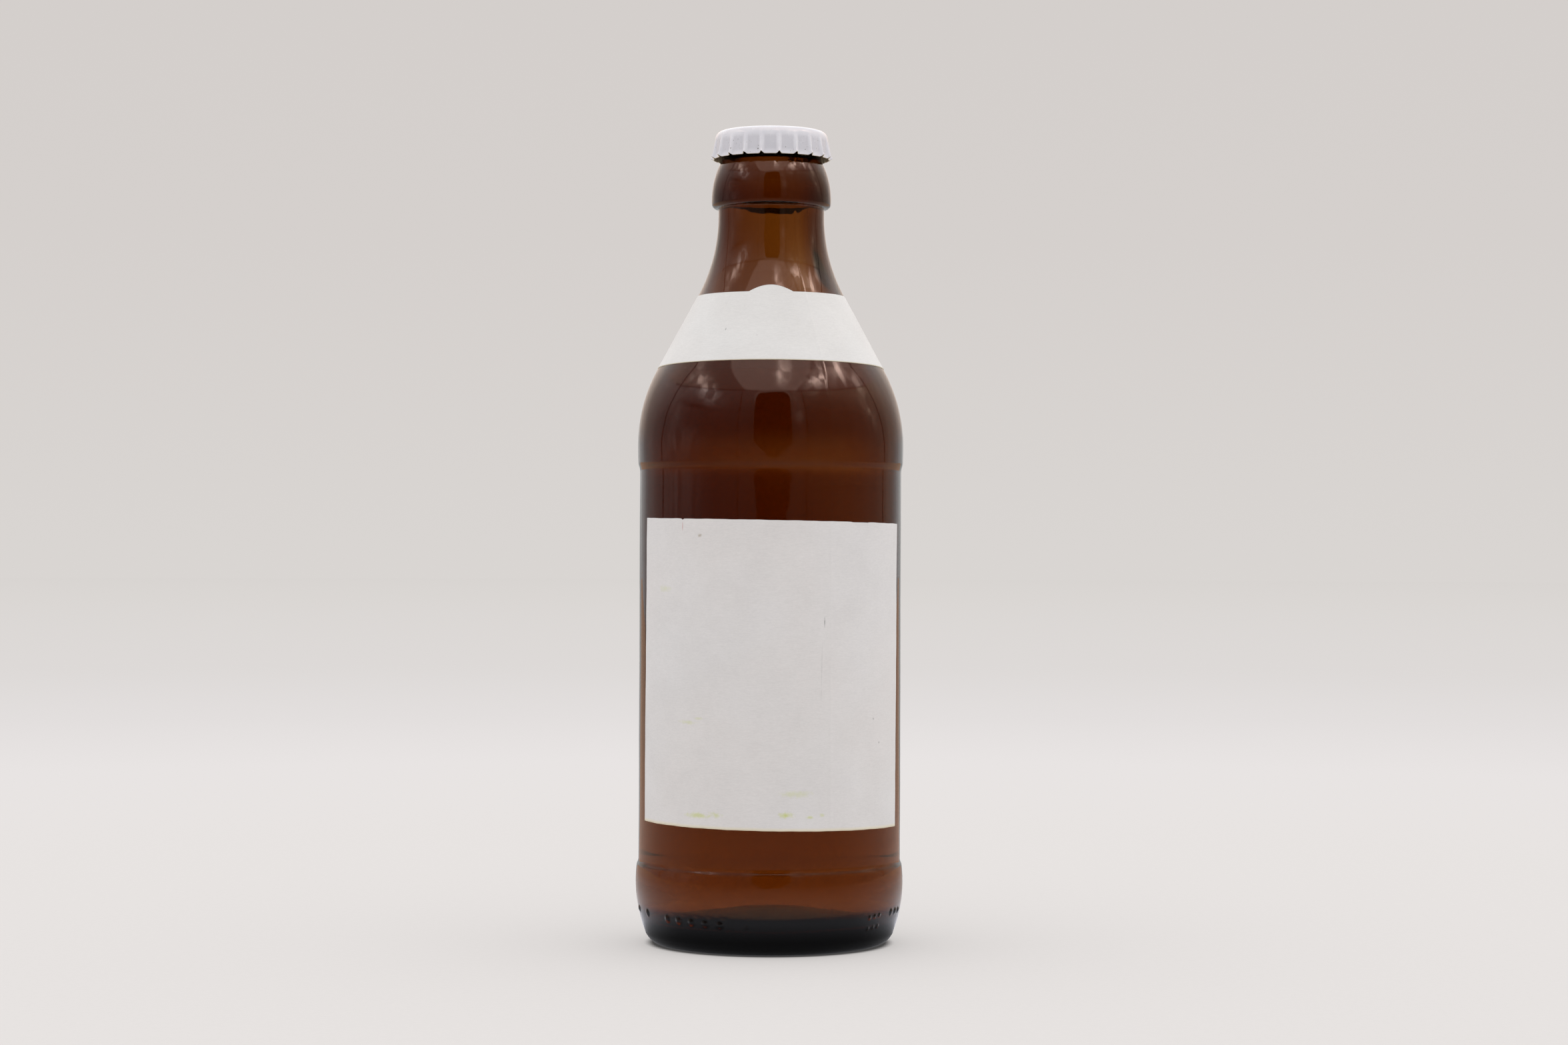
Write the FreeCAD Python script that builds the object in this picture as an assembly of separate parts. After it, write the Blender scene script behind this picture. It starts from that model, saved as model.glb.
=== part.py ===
import FreeCAD, Part
import os
from math import acos, asin, atan2, cos, degrees, pi, radians, sin, sqrt, tan

# Returnable 0.33 litre "Euro" beer bottle: amber glass, crown cork, two paper labels, full of beer.
# Millimetres and degrees. +Z is up, the origin is the centre of the foot and the labels face -Y.

# Driving dimensions
BODY_DIAMETER = 63.4        # across the heel, the widest place
GLASS_HEIGHT = 192.0        # foot to mouth
WALL = 3.2                  # glass under the shoulder and in the neck
BRIM_SPACE = 0.073          # share of the brimful volume left free above the beer

# Foot and heel
FOOT_INNER_RADIUS = 23.8    # inside of the flat ring that the bottle stands on
PUSH_UP = 4.2               # height of the dished foot at its centre
CORNER_RADIUS = 4.0         # rounding between the foot and the heel
HEEL_RADIUS = 32.7          # barrel curve of the heel
HEEL_WIDEST = 14.8          # height of the widest place
HEEL_TOP = 18.4             # height where the heel steps in to the label panel

# Label panel, which lies a little under the heel and the shoulder so that the labels don't rub
PANEL_RECESS = 0.66         # panel under the heel
LOWER_STEP_RADIUS = 2.5     # both roundings of the step up from the heel
UPPER_STEP_RADIUS = 3.9     # both roundings of the step under the shoulder
SHOULDER_RECESS = 0.15      # shoulder under the heel
SHOULDER_BAND = 4.0         # nearly upright band from the upper step to the shoulder's widest place
BAND_ARC = 80.0             # barrel curve of that band

# Shoulder, cone and neck
SHOULDER_ARC = 37.2
CONE_ANGLE = 28.5           # slope of the cone against the axis
NECK_ARC = 40.4
NECK_DIAMETER = 25.1
NECK_STRAIGHT = 1.7         # upright neck under the collar

# Finish: the ring-shaped collar and the mouth for a 26 mm crown cork
FINISH_HEIGHT = 17.7        # underside of the collar to the mouth
COLLAR_DIAMETER = 28.4
COLLAR_WIDEST = 2.0         # above the underside
COLLAR_ARC = 20.3
COLLAR_EDGE = 1.2
COLLAR_FILLET = 0.4
THROAT_DIAMETER = 23.8      # between the collar and the locking bead
BEAD_DIAMETER = 26.5        # locking bead that the crown grips
BEAD_UNDERSIDE = 4.8        # below the mouth, where the bead's slope starts
BEAD_BOTTOM = 3.7           # below the mouth
LIP_RADIUS = 2.8            # outer rounding of the mouth
LIP_INNER_RADIUS = 1.0
BORE_DIAMETER = 16.6
BORE_DEPTH = 6.0            # straight bore, before it widens behind the collar
BELLY_RADIUS = 10.0         # widest place of the inside behind the collar
BELLY_DEPTH = 12.5          # below the mouth

# Inside of the foot
FLOOR_HEIGHT = 11.6         # top of the domed glass floor
FLOOR_DOME_RADIUS = 44.0
FLOOR_CORNER_RADIUS = 5.0
HEEL_WALL = 2.4             # the glass is thinner at the heel
HEEL_WALL_TOP = 30.0        # height up to which it stays so
WALL_SETTLES = 50.0         # height from which the inside has its upper width

# Crown cork, crimped on
FLUTES = 21                 # narrow ridges that end in teeth, with hollow facets between them
SHEET = 0.24                # tinplate
CROWN_DOME = 0.15           # rise of the slightly domed top
CROWN_EDGE_RADIUS = 1.7
CROWN_SKIRT_TOP = 1.0       # below the mouth, where the flutes start
CROWN_SKIRT_RADIUS = 13.35
CROWN_TURN = 7.4            # the first ridge stands this far right of the front
FACET_SHARE = 0.64          # part of a flute's pitch that its hollow facet takes, the rest is ridge
# Each ring of the skirt: depth below the mouth, radius in the facets, height of the ridges on them
SKIRT_RINGS = (
    (CROWN_SKIRT_TOP, CROWN_SKIRT_RADIUS, 0.0),
    (2.6, 13.50, 0.22),
    (4.4, 13.62, 0.45),
    (5.9, 13.80, 0.65),
)
LINER_RADIUS = 12.2
LINER_SKIRT = 0.9           # how far the liner is pressed down over the lip

# Paper labels
PAPER = 0.12
BODY_LABEL_WIDTH = 76.3     # along the curve
BODY_LABEL_FOOT = 8.8       # bare panel below the label
BODY_LABEL_HEAD = 11.6      # bare panel above the label
BODY_LABEL_TURN = 1.5       # stuck on a little to the right
BODY_LABEL_TILT = 0.9       # and a little askew, clockwise
NECK_LABEL_SPAN = 198.0     # degrees round the cone
NECK_LABEL_MARGIN = 0.3     # bare cone under the label at its sides, along the slope
NECK_LABEL_BOW = 1.1        # rise of the lower edge from the sides to the front
NECK_LABEL_HEIGHT = 18.7    # along the slope, at the front
NECK_TAB_WIDTH = 10.4       # rounded tab at the middle of the upper edge
NECK_TAB_HEIGHT = 1.8

FRONT = -90.0               # azimuth of the front
JOIN_GAP = 1e-6             # ends closer than this already meet
LEVEL_STEP = 0.001          # how closely the beer's level is found
OFFSET_TOLERANCE = 1e-4     # of the paper's thickness
Vector2d = FreeCAD.Base.Vector2d
AXIS = FreeCAD.Vector(0, 0, 1)
ORIGIN = FreeCAD.Vector(0, 0, 0)

BODY_RADIUS = BODY_DIAMETER / 2
PANEL_RADIUS = BODY_RADIUS - PANEL_RECESS
SHOULDER_RADIUS = BODY_RADIUS - SHOULDER_RECESS
NECK_RADIUS = NECK_DIAMETER / 2
COLLAR_RADIUS = COLLAR_DIAMETER / 2
THROAT_RADIUS = THROAT_DIAMETER / 2
BEAD_RADIUS = BEAD_DIAMETER / 2
BORE_RADIUS = BORE_DIAMETER / 2

# The neck hangs down from the mouth, and the shoulder from the neck along the cone.
COLLAR_BOTTOM = GLASS_HEIGHT - FINISH_HEIGHT
NECK_TOP = COLLAR_BOTTOM - NECK_STRAIGHT
ARC_FALL = 1 - cos(radians(CONE_ANGLE))
CONE_TOP_RADIUS = NECK_RADIUS + NECK_ARC * ARC_FALL
CONE_FOOT_RADIUS = SHOULDER_RADIUS - SHOULDER_ARC * ARC_FALL
CONE_TOP = NECK_TOP - NECK_ARC * sin(radians(CONE_ANGLE))
CONE_FOOT = CONE_TOP - (CONE_FOOT_RADIUS - CONE_TOP_RADIUS) / tan(radians(CONE_ANGLE))
SHOULDER_WIDEST = CONE_FOOT - SHOULDER_ARC * sin(radians(CONE_ANGLE))


def point(radius, height):
    """A point of an outline, in the half-plane right of the axis."""
    return FreeCAD.Vector(radius, 0, height)


def polar(centre, radius, angle):
    """The point at an angle, counted from the radial direction upwards, round a centre."""
    return centre + point(radius * cos(radians(angle)), radius * sin(radians(angle)))


def arc(centre, radius, start, end):
    """An arc of an outline round a centre, between two angles."""
    places = [polar(centre, radius, angle) for angle in (start, (start + end) / 2, end)]
    return Part.Arc(*places).toShape()


def direction(start, end):
    """The angle in an outline's plane from one point to another."""
    return degrees(atan2(end.z - start.z, end.x - start.x))


def outline(*pieces):
    """Arcs and points in order, joined by straight edges into one closed wire."""
    edges = []
    chains = [[piece] if isinstance(piece, FreeCAD.Vector) else [end.Point for end in piece.Vertexes]
              for piece in pieces]
    here = chains[0][0]
    for piece, ends in zip((*pieces, None), (*chains, [here])):
        ends = sorted(ends, key=here.distanceToPoint)
        if here.distanceToPoint(ends[0]) > JOIN_GAP:
            edges.append(Part.makeLine(here, ends[0]))
        if isinstance(piece, Part.Edge):
            edges.append(piece)
        here = ends[-1]
    return Part.Wire(edges)


def revolved(wire):
    return Part.Face(wire).revolve(ORIGIN, AXIS, 360)


def tangent_step(centre, radius, height, panel_radius, rounding):
    """The S-shaped step from a barrel curve to the upright panel, as two arcs from the curve on."""
    start = degrees(asin((height - centre.z) / radius))
    outer = polar(centre, radius - rounding, start)
    side = 1 if height > centre.z else -1
    reach = panel_radius + rounding - outer.x
    inner = point(panel_radius + rounding, outer.z + side * sqrt(4 * rounding ** 2 - reach ** 2))
    turn = direction(outer, inner)
    return arc(outer, rounding, start, turn), arc(inner, rounding, side * 180 + turn, side * 180)


HEEL_CENTRE = point(BODY_RADIUS - HEEL_RADIUS, HEEL_WIDEST)
SHOULDER_CENTRE = point(SHOULDER_RADIUS - SHOULDER_ARC, SHOULDER_WIDEST)
NECK_CENTRE = point(NECK_RADIUS + NECK_ARC, NECK_TOP)
COLLAR_CENTRE = point(COLLAR_RADIUS - COLLAR_ARC, COLLAR_BOTTOM + COLLAR_WIDEST)
LOWER_STEP = tangent_step(HEEL_CENTRE, HEEL_RADIUS, HEEL_TOP, PANEL_RADIUS, LOWER_STEP_RADIUS)
BAND_CENTRE = point(SHOULDER_RADIUS - BAND_ARC, SHOULDER_WIDEST)
UPPER_STEP = tangent_step(
    BAND_CENTRE, BAND_ARC, SHOULDER_WIDEST - SHOULDER_BAND, PANEL_RADIUS, UPPER_STEP_RADIUS)
PANEL_BOTTOM = LOWER_STEP[1].Vertexes[-1].Point.z
PANEL_TOP = UPPER_STEP[1].Vertexes[-1].Point.z


def outer_glass():
    """The bottle as if it were solid glass, dished foot included."""
    corner_reach = sqrt((HEEL_RADIUS - CORNER_RADIUS) ** 2 - (CORNER_RADIUS - HEEL_WIDEST) ** 2)
    corner = point(HEEL_CENTRE.x + corner_reach, CORNER_RADIUS)
    heel_start = direction(HEEL_CENTRE, corner)
    heel_end = degrees(asin((HEEL_TOP - HEEL_WIDEST) / HEEL_RADIUS))
    band_start = degrees(asin(-SHOULDER_BAND / BAND_ARC))
    dish_radius = (FOOT_INNER_RADIUS ** 2 + PUSH_UP ** 2) / (2 * PUSH_UP)
    dish = arc(point(0, PUSH_UP - dish_radius), dish_radius,
               90, degrees(acos(FOOT_INNER_RADIUS / dish_radius)))
    collar_edge_reach = sqrt((COLLAR_ARC - COLLAR_EDGE) ** 2 - (COLLAR_EDGE - COLLAR_WIDEST) ** 2)
    collar_edge = point(COLLAR_CENTRE.x + collar_edge_reach, COLLAR_BOTTOM + COLLAR_EDGE)
    collar_end = degrees(acos((THROAT_RADIUS - COLLAR_CENTRE.x) / COLLAR_ARC))
    lip = point(BEAD_RADIUS - LIP_RADIUS, GLASS_HEIGHT - LIP_RADIUS)
    return revolved(outline(
        dish,
        arc(corner, CORNER_RADIUS, -90, heel_start),
        arc(HEEL_CENTRE, HEEL_RADIUS, heel_start, heel_end),
        *LOWER_STEP,
        *reversed(UPPER_STEP),
        arc(BAND_CENTRE, BAND_ARC, band_start, 0),
        arc(SHOULDER_CENTRE, SHOULDER_ARC, 0, CONE_ANGLE),
        arc(NECK_CENTRE, NECK_ARC, 180 + CONE_ANGLE, 180),
        arc(point(NECK_RADIUS + COLLAR_FILLET, COLLAR_BOTTOM - COLLAR_FILLET), COLLAR_FILLET, 180, 90),
        arc(collar_edge, COLLAR_EDGE, -90, direction(COLLAR_CENTRE, collar_edge)),
        arc(COLLAR_CENTRE, COLLAR_ARC, direction(COLLAR_CENTRE, collar_edge), collar_end),
        point(THROAT_RADIUS, GLASS_HEIGHT - BEAD_UNDERSIDE),
        point(BEAD_RADIUS, GLASS_HEIGHT - BEAD_BOTTOM),
        arc(lip, LIP_RADIUS, 0, 90),
        point(0, GLASS_HEIGHT)))


def cavity():
    """The space inside the glass, from the domed floor to the mouth."""
    heel_inside = BODY_RADIUS - HEEL_WALL
    dome = point(0, FLOOR_HEIGHT - FLOOR_DOME_RADIUS)
    span = FLOOR_DOME_RADIUS + FLOOR_CORNER_RADIUS
    reach = heel_inside - FLOOR_CORNER_RADIUS
    corner = point(reach, dome.z + sqrt(span ** 2 - reach ** 2))
    meeting = direction(dome, corner)
    lip = point(BORE_RADIUS + LIP_INNER_RADIUS, GLASS_HEIGHT - LIP_INNER_RADIUS)
    return revolved(outline(
        arc(dome, FLOOR_DOME_RADIUS, 90, meeting),
        arc(corner, FLOOR_CORNER_RADIUS, meeting - 180, 0),
        point(heel_inside, HEEL_WALL_TOP),
        point(SHOULDER_RADIUS - WALL, WALL_SETTLES),
        arc(SHOULDER_CENTRE, SHOULDER_ARC - WALL, 0, CONE_ANGLE),
        arc(NECK_CENTRE, NECK_ARC + WALL, 180 + CONE_ANGLE, 180),
        point(BELLY_RADIUS, GLASS_HEIGHT - BELLY_DEPTH),
        point(BORE_RADIUS, GLASS_HEIGHT - BORE_DEPTH),
        arc(lip, LIP_INNER_RADIUS, 180, 90),
        point(0, GLASS_HEIGHT)))


def below(shape, level):
    """The part of a shape under a level."""
    side = 2 * BODY_DIAMETER
    block = Part.makeBox(side, side, level, FreeCAD.Vector(-side / 2, -side / 2, 0))
    return shape.common(block)


def fill_level(space, volume):
    """The level at which a space holds a volume, found by halving."""
    low = FLOOR_HEIGHT
    high = GLASS_HEIGHT
    while high - low > LEVEL_STEP:
        level = (low + high) / 2
        if below(space, level).Volume < volume:
            low = level
        else:
            high = level
    return high


def skirt_ring(depth, facet_radius, ridge, inset):
    """One ring of the fluted skirt: a narrow arc over each ridge and a wide one in each facet."""
    pitch = 2 * pi / FLUTES
    half_facet = FACET_SHARE * pitch / 2
    flank_radius = facet_radius + ridge / 4

    def place(radius, angle):
        reach = radius - inset
        return FreeCAD.Vector(reach * cos(angle), reach * sin(angle), GLASS_HEIGHT - depth)

    edges = []
    for flute in range(FLUTES):
        crest = radians(FRONT + CROWN_TURN) + flute * pitch
        middle = crest + pitch / 2
        start = place(flank_radius, middle - pitch + half_facet)
        flank = place(flank_radius, middle - half_facet)
        end = place(flank_radius, middle + half_facet)
        edges.append(Part.Arc(start, place(facet_radius + ridge, crest), flank).toShape())
        edges.append(Part.Arc(flank, place(facet_radius, middle), end).toShape())
    return Part.Wire(edges)


def crown_form(inset):
    """The crown as a solid form, its surface set in by a thickness."""
    skirt = Part.makeLoft([skirt_ring(*ring, inset) for ring in SKIRT_RINGS], True, False)
    skirt_top = GLASS_HEIGHT - CROWN_SKIRT_TOP
    edge = point(CROWN_SKIRT_RADIUS - CROWN_EDGE_RADIUS, skirt_top)
    dome_radius = (edge.x ** 2 + CROWN_DOME ** 2) / (2 * CROWN_DOME)
    dome = point(0, skirt_top + CROWN_EDGE_RADIUS + CROWN_DOME - inset - dome_radius)
    cap = revolved(outline(
        point(0, skirt_top),
        point(CROWN_SKIRT_RADIUS - inset, skirt_top),
        arc(edge, CROWN_EDGE_RADIUS - inset, 0, 90),
        arc(dome, dome_radius, degrees(acos(edge.x / dome_radius)), 90)))
    return cap.fuse(skirt).removeSplitter()


def crown_cap():
    """The crimped crown cork: a thin shell with a domed top and a fluted skirt."""
    return crown_form(0).cut(crown_form(SHEET))


def crown_liner(glass):
    """The sealing disc inside the crown, pressed down over the lip of the mouth."""
    foot = point(0, GLASS_HEIGHT - LINER_SKIRT)
    disc = Part.makeCylinder(LINER_RADIUS, FINISH_HEIGHT, foot)
    throat = Part.makeCylinder(BORE_RADIUS + LIP_INNER_RADIUS, LINER_SKIRT, foot)
    return disc.common(crown_form(SHEET)).cut(throat).cut(glass)


def straight(surface, start, end):
    """An edge on a surface, straight in its turn and run."""
    return Part.Geom2d.Line2dSegment(start, end).toShape(surface)


def curved(surface, places):
    """A smooth edge on a surface through places given by turn and run."""
    curve = Part.Geom2d.BSplineCurve2d()
    curve.interpolate(places)
    return curve.toShape(surface)


def paper(surface, edges):
    """A sheet of paper stuck on a surface, inside a closed chain of edges."""
    return Part.Face(surface, Part.Wire(edges)).makeOffsetShape(PAPER, OFFSET_TOLERANCE, fill=True)


def body_label():
    """The main label: a rectangle wrapped on the panel, a little turned and askew."""
    surface = Part.Cylinder()
    surface.Radius = PANEL_RADIUS
    bottom = PANEL_BOTTOM + BODY_LABEL_FOOT
    top = PANEL_TOP - BODY_LABEL_HEAD
    tilt = radians(BODY_LABEL_TILT)
    corners = []
    for side, end in ((-1, -1), (1, -1), (1, 1), (-1, 1)):
        across = side * BODY_LABEL_WIDTH / 2
        up = end * (top - bottom) / 2
        turn = radians(FRONT + BODY_LABEL_TURN) + (across * cos(tilt) + up * sin(tilt)) / PANEL_RADIUS
        run = (top + bottom) / 2 + up * cos(tilt) - across * sin(tilt)
        corners.append(Vector2d(turn, run))
    return paper(surface, [straight(surface, *pair) for pair in zip(corners, corners[1:] + corners[:1])])


def neck_label():
    """The neck label: a band round the front of the cone, with a rounded tab on its upper edge."""
    cone = Part.makeCone(CONE_FOOT_RADIUS, CONE_TOP_RADIUS, CONE_TOP - CONE_FOOT, point(0, CONE_FOOT))
    surface = next(face.Surface for face in cone.Faces if isinstance(face.Surface, Part.Cone))
    low = NECK_LABEL_MARGIN
    high = low + NECK_LABEL_BOW + NECK_LABEL_HEIGHT
    middle = radians(FRONT)
    half = radians(NECK_LABEL_SPAN / 2)
    tab_half = NECK_TAB_WIDTH / 2 / (CONE_FOOT_RADIUS - high * sin(radians(CONE_ANGLE)))
    shares = [step / 3 for step in range(-3, 4)]
    foot = [Vector2d(middle + share * half, low + NECK_LABEL_BOW * (1 - share ** 2)) for share in shares]
    tab = [Vector2d(middle - share * tab_half, high + NECK_TAB_HEIGHT * (1 - share ** 2)) for share in shares]
    left = Vector2d(middle - half, high)
    right = Vector2d(middle + half, high)
    return paper(surface, [
        curved(surface, foot),
        straight(surface, foot[-1], right),
        straight(surface, right, tab[0]),
        curved(surface, tab),
        straight(surface, tab[-1], left),
        straight(surface, left, foot[0])])


def main():
    blank = outer_glass()
    space = cavity()
    brimful = space.Volume
    level = fill_level(space, (1 - BRIM_SPACE) * brimful)
    pieces = {
        "bottle": blank.cut(space),
        "beer": below(space, level),
        "crown_cap": crown_cap(),
        "crown_liner": crown_liner(blank),
        "body_label": body_label(),
        "neck_label": neck_label(),
    }
    os.makedirs("parts", exist_ok=True)
    for name, shape in pieces.items():
        solid = shape.Solids[0]
        solid.exportStep(f"parts/{name}.step")
        box = solid.optimalBoundingBox()
        print(f"{name}: {len(shape.Solids)} solid, valid {solid.isValid()}, "
              f"{solid.Volume / 1000:.2f} ml, z {box.ZMin:.2f} to {box.ZMax:.2f}, r {box.XMax:.2f}")
    print(f"brimful {brimful / 1000:.1f} ml, beer level {level:.2f}")
    print(f"panel {PANEL_BOTTOM:.2f} to {PANEL_TOP:.2f}, cone {CONE_FOOT:.2f} to {CONE_TOP:.2f}")


main()
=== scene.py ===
import random
from math import acos, asin, atan2, ceil, cos, degrees, dist, hypot, pi, radians, sin, sqrt, tan

import bmesh
import bpy
import numpy as np
from mathutils import Matrix, Vector


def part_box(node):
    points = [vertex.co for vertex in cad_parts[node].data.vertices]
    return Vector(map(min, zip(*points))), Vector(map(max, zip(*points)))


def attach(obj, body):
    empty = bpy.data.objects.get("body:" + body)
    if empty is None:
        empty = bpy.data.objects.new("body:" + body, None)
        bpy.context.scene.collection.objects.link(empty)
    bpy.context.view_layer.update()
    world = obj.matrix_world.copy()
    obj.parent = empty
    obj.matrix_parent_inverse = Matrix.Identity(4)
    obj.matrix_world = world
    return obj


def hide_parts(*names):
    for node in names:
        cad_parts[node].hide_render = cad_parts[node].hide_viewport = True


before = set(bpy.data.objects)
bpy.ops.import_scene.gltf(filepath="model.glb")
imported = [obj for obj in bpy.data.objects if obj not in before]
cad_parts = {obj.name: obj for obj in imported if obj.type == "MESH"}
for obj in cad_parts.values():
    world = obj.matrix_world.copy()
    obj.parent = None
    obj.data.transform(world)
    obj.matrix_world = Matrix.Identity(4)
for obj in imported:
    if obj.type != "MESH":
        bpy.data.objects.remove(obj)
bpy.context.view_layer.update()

# A full 0.33 litre beer bottle of amber glass with its crown on. Lengths are in millimetres until a mesh
# is made from them, and in metres in the materials. The labels face -Y, and turns are angles round the axis.
MM = 0.001
FRONT = -pi / 2


def box_mm(node):
    """A CAD node's lowest and highest corners in millimetres."""
    return [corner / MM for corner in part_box(node)]


# The glass, as in the part's source: outside from the foot up, then the inside
GLASS_HEIGHT = box_mm("bottle")[1].z
BODY_RADIUS = 31.7
HEEL_RADIUS, HEEL_WIDEST, HEEL_TOP = 32.7, 14.8, 18.4
CORNER_RADIUS, FOOT_INNER_RADIUS, PUSH_UP = 4.0, 23.8, 4.2
PANEL_RADIUS = BODY_RADIUS - 0.66
SHOULDER_RADIUS = BODY_RADIUS - 0.15
SHOULDER_BAND, BAND_ARC, SHOULDER_ARC = 4.0, 80.0, 37.2
LOWER_STEP_RADIUS, UPPER_STEP_RADIUS = 2.5, 3.9
CONE_ANGLE, NECK_ARC, NECK_RADIUS, NECK_STRAIGHT = 28.5, 40.4, 12.55, 1.7
FINISH_HEIGHT, COLLAR_RADIUS, COLLAR_WIDEST, COLLAR_ARC = 17.7, 14.2, 2.0, 20.3
COLLAR_EDGE, COLLAR_FILLET, THROAT_RADIUS, BEAD_RADIUS = 1.2, 0.4, 11.9, 13.25
BEAD_UNDERSIDE, BEAD_BOTTOM, LIP_RADIUS, LIP_INNER_RADIUS = 4.8, 3.7, 2.8, 1.0
BORE_RADIUS, BORE_DEPTH, BELLY_RADIUS, BELLY_DEPTH = 8.3, 6.0, 10.0, 12.5
WALL, HEEL_WALL, HEEL_WALL_TOP, WALL_SETTLES = 3.2, 2.4, 30.0, 50.0
FLOOR_HEIGHT, FLOOR_DOME_RADIUS, FLOOR_CORNER_RADIUS = 11.6, 44.0, 5.0
BEER_LEVEL = box_mm("beer")[1].z

COLLAR_BOTTOM = GLASS_HEIGHT - FINISH_HEIGHT
NECK_TOP = COLLAR_BOTTOM - NECK_STRAIGHT
SLOPE = radians(CONE_ANGLE)
CONE_TOP_RADIUS = NECK_RADIUS + NECK_ARC * (1 - cos(SLOPE))
CONE_FOOT_RADIUS = SHOULDER_RADIUS - SHOULDER_ARC * (1 - cos(SLOPE))
CONE_TOP = NECK_TOP - NECK_ARC * sin(SLOPE)
CONE_FOOT = CONE_TOP - (CONE_FOOT_RADIUS - CONE_TOP_RADIUS) / tan(SLOPE)
SHOULDER_WIDEST = CONE_FOOT - SHOULDER_ARC * sin(SLOPE)
# Centres of the outline's arcs: radius and height
HEEL_CENTRE = (BODY_RADIUS - HEEL_RADIUS, HEEL_WIDEST)
BAND_CENTRE = (SHOULDER_RADIUS - BAND_ARC, SHOULDER_WIDEST)
SHOULDER_CENTRE = (SHOULDER_RADIUS - SHOULDER_ARC, SHOULDER_WIDEST)
NECK_CENTRE = (NECK_RADIUS + NECK_ARC, NECK_TOP)


# ------------------------ outlines
def arc(centre, radius, start, end, step):
    """Points along an arc between two angles in degrees, about a step apart."""
    count = max(4, ceil(abs(radians(end - start)) * radius / step))
    return [(centre[0] + radius * cos(radians(angle)), centre[1] + radius * sin(radians(angle)))
            for angle in np.linspace(start, end, count + 1)]


def line(start, end, step):
    """Points along a straight stretch, about a step apart."""
    count = max(1, ceil(dist(start, end) / step))
    return [(start[0] + (end[0] - start[0]) * share, start[1] + (end[1] - start[1]) * share)
            for share in np.linspace(0, 1, count + 1)]


def joined(*stretches):
    """One chain of points, without the places where two stretches meet counted twice."""
    chain = []
    for stretch in stretches:
        for place in stretch:
            if not chain or dist(place, chain[-1]) > 1e-4:
                chain.append(place)
    return chain


def direction(start, end):
    """The angle of the way from one place to another, in degrees."""
    return degrees(atan2(end[1] - start[1], end[0] - start[0]))


def tangent_step(centre, radius, height, rounding, step):
    """The S-shaped step from a barrel curve to the upright label panel."""
    start = degrees(asin((height - centre[1]) / radius))
    reach_in = radius - rounding
    outer = (centre[0] + reach_in * cos(radians(start)), centre[1] + reach_in * sin(radians(start)))
    side = 1 if height > centre[1] else -1
    across = PANEL_RADIUS + rounding - outer[0]
    inner = (PANEL_RADIUS + rounding, outer[1] + side * sqrt(4 * rounding ** 2 - across ** 2))
    turn = direction(outer, inner)
    return arc(outer, rounding, start, turn, step) + arc(inner, rounding, side * 180 + turn, side * 180, step)


LOWER_STEP = tangent_step(HEEL_CENTRE, HEEL_RADIUS, HEEL_TOP, LOWER_STEP_RADIUS, 0.2)
UPPER_STEP = tangent_step(BAND_CENTRE, BAND_ARC, SHOULDER_WIDEST - SHOULDER_BAND, UPPER_STEP_RADIUS, 0.25)
PANEL_BOTTOM, PANEL_TOP = LOWER_STEP[-1][1], UPPER_STEP[-1][1]


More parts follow.
